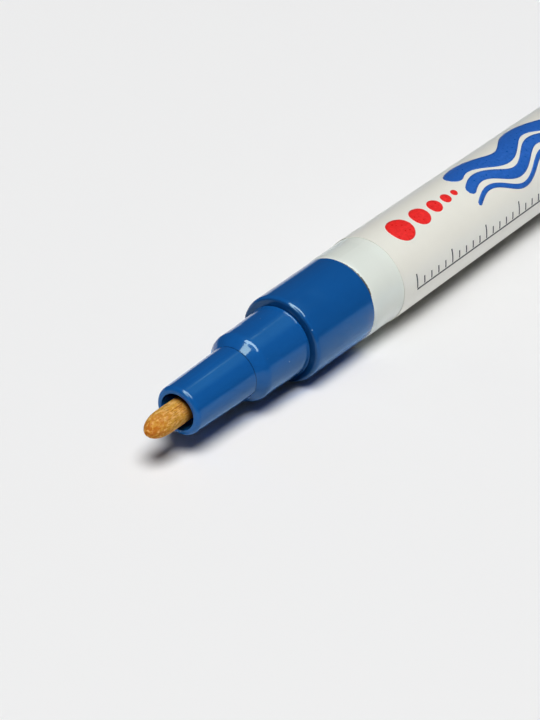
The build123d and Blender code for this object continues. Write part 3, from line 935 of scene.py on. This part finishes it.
def build_floor(stage):
    """A pale floor, which differs for the eye, for the light it gives and in reflections."""
    material, tree, shader = start_material("floor_paper")
    inputs = {0: millimetres(tree), 1: MOUTH / MM}
    place = add_node(tree, "ShaderNodeVectorMath", inputs, operation="SUBTRACT").outputs["Vector"]
    axes = separated(tree, place)
    rays = tree.nodes.new("ShaderNodeLightPath").outputs
    colour = blend_colours(
        tree, rays["Is Camera Ray"], bouncing_floor(tree, stage, axes), seen_floor(tree, stage, axes)
    )
    mirrored = mirrored_floor(tree, stage, place, axes)
    colour = blend_colours(tree, rays["Is Glossy Ray"], colour, mirrored)
    feed(tree, colour, shader.inputs["Base Color"])
    shader.inputs["Roughness"].default_value = 1.0
    shader.inputs["Specular IOR Level"].default_value = 0.0
    mesh = bmesh.new()
    bmesh.ops.create_grid(mesh, x_segments=1, y_segments=1, size=stage.floor_size / 2)
    floor = link_object("floor", finish_mesh("floor", mesh, material))


def panel_light(tree, stage):
    """The room in reflections: a dim panel that fades on both sides, with two bright strips."""
    way = tree.nodes.new("ShaderNodeTexCoord").outputs["Generated"]
    axes = separated(tree, way)
    roll = sums(tree, "ARCTAN2", axes["Y"], axes["Z"])
    share = product(
        tree,
        remap(tree, roll, Ramp(0, PANEL_RISE), stage.panel_fade),
        remap(tree, roll, Ramp(-PANEL_FALL, 0, 1, 0), stage.panel_edge),
        remap(tree, axes["X"], Ramp(0, PANEL_LEAN, 1, 0), stage.panel_reach),
    )
    panel = blend_colours(tree, share, opaque(stage.room), opaque(stage.panel))
    lengths = [
        product(tree, remap(tree, axes["X"], start), remap(tree, axes["X"], end))
        for start, end in STRIPS
    ]
    across = within(tree, roll, stage.strip_turn, STRIP_REACH)
    strips = product(tree, across, sums(tree, "MAXIMUM", *lengths))
    bright = tuple(stage.strip_shine * part for part in stage.strip)
    return blend_colours(tree, strips, panel, opaque(bright))


def build_world(stage):
    """A dim room with one dim panel in reflections. The eye sees it as the pale backdrop."""
    world = bpy.data.worlds.new("room")
    bpy.context.scene.world = world
    world.use_nodes = True
    tree = world.node_tree
    tree.nodes.clear()
    rays = tree.nodes.new("ShaderNodeLightPath").outputs
    room = blend_colours(tree, rays["Is Glossy Ray"], opaque(stage.room), panel_light(tree, stage))
    colour = blend_colours(tree, rays["Is Camera Ray"], room, opaque(stage.floor))
    background = add_node(tree, "ShaderNodeBackground", {"Color": colour, "Strength": 1.0})
    output = tree.nodes.new("ShaderNodeOutputWorld")
    tree.links.new(background.outputs["Background"], output.inputs["Surface"])


def build_camera(stage):
    """The camera, at the photograph's viewing angle."""
    lens = bpy.data.cameras.new("camera")
    lens.lens = stage.lens
    camera = link_object("camera", lens)
    camera.location = MOUTH + Vector(stage.camera)
    camera.rotation_euler = Vector(stage.sight).to_track_quat("-Z", "Y").to_euler()
    bpy.context.scene.camera = camera


# Operators

class MARKER_OT_nib(Operator):
    """Build the fibre nib"""

    bl_idname = "marker.nib"
    bl_label = "Nib"

    def execute(self, context):
        build_nib(context.scene.marker_nib)
        return {"FINISHED"}


class MARKER_OT_mouldings(Operator):
    """Finish the nose, collar, tail plug and cap"""

    bl_idname = "marker.mouldings"
    bl_label = "Blue mouldings"

    def execute(self, context):
        plastic = blue_material(context.scene.marker_moulding)
        coat(("nose", "collar", "tail_plug", "cap_shell"), plastic)
        return {"FINISHED"}


class MARKER_OT_barrel(Operator):
    """Finish the barrel and its label film"""

    bl_idname = "marker.barrel"
    bl_label = "Barrel and film"

    def execute(self, context):
        barrel = context.scene.marker_barrel
        coat(("barrel",), lacquer_material(barrel))
        coat(("label_film",), film_material(barrel))
        return {"FINISHED"}


class MARKER_OT_print(Operator):
    """Print the label film"""

    bl_idname = "marker.print"
    bl_label = "Label print"

    def execute(self, context):
        settings = context.scene.marker_print
        build_waves(settings, ink_material("ink_blue", settings.blue))
        build_dots(settings, ink_material("ink_red", settings.red))
        build_rule(settings, ink_material("ink_black", settings.black))
        return {"FINISHED"}


class MARKER_OT_valve(Operator):
    """Finish the valve, wind its spring and polish the mixing ball"""

    bl_idname = "marker.valve"
    bl_label = "Valve and ball"

    def execute(self, context):
        valve = context.scene.marker_valve
        coat(("valve_body", "valve_stem", "spring_retainer", "cap_liner"), natural_material(valve))
        coat(("mixing_ball",), steel_material("ball_polish", valve, BALL_GRAIN))
        build_spring(valve)
        return {"FINISHED"}


class MARKER_OT_stage(Operator):
    """Set the floor, the lights and the camera"""

    bl_idname = "marker.stage"
    bl_label = "Stage"

    def execute(self, context):
        stage = context.scene.marker_stage
        context.scene.view_settings.view_transform = "Standard"
        build_floor(stage)
        build_world(stage)
        lamp = add_lamp("lamp", stage, "ELLIPSE", stage.lamp, stage.lamp_span, stage.lamp_shine)
        lamp.visible_glossy = False  # its screen shows instead
        screen = add_lamp(
            "screen", stage, "ELLIPSE", stage.screen, stage.screen_span, stage.screen_shine
        )
        screen.visible_diffuse = False
        screen.data.color = stage.screen_tint
        window = add_lamp(
            "window", stage, "RECTANGLE", stage.window, stage.window_span, stage.window_shine
        )
        window.visible_diffuse = False
        window.data.color = stage.window_tint
        build_camera(stage)
        return {"FINISHED"}


class MARKER_PT_sidebar(Panel):
    """The marker's pieces and their settings"""

    bl_idname = "MARKER_PT_sidebar"
    bl_label = "Paint marker"
    bl_space_type = "VIEW_3D"
    bl_region_type = "UI"
    bl_category = "Marker"

    def draw(self, context):
        for operator, group in STEPS:
            box = self.layout.box()
            box.operator(operator.bl_idname)
            settings = getattr(context.scene, group)
            for name in settings.__annotations__:
                box.prop(settings, name)


# Each step's operator and the group of settings that it reads
STEPS = (
    (MARKER_OT_nib, "marker_nib"),
    (MARKER_OT_mouldings, "marker_moulding"),
    (MARKER_OT_barrel, "marker_barrel"),
    (MARKER_OT_print, "marker_print"),
    (MARKER_OT_valve, "marker_valve"),
    (MARKER_OT_stage, "marker_stage"),
)
GROUPS = {
    "marker_nib": NibSettings,
    "marker_moulding": MouldingSettings,
    "marker_barrel": BarrelSettings,
    "marker_print": PrintSettings,
    "marker_valve": ValveSettings,
    "marker_stage": StageSettings,
}
CLASSES = (*GROUPS.values(), *(operator for operator, group in STEPS), MARKER_PT_sidebar)


def register():
    for cls in CLASSES:
        bpy.utils.register_class(cls)
    for name, group in GROUPS.items():
        setattr(bpy.types.Scene, name, PointerProperty(type=group))


def unregister():
    for name in GROUPS:
        delattr(bpy.types.Scene, name)
    for cls in reversed(CLASSES):
        bpy.utils.unregister_class(cls)


def main():
    """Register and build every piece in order."""
    register()
    bpy.ops.marker.nib()
    bpy.ops.marker.mouldings()
    bpy.ops.marker.barrel()
    bpy.ops.marker.print()
    bpy.ops.marker.valve()
    bpy.ops.marker.stage()


if __name__ == "__main__":
    main()
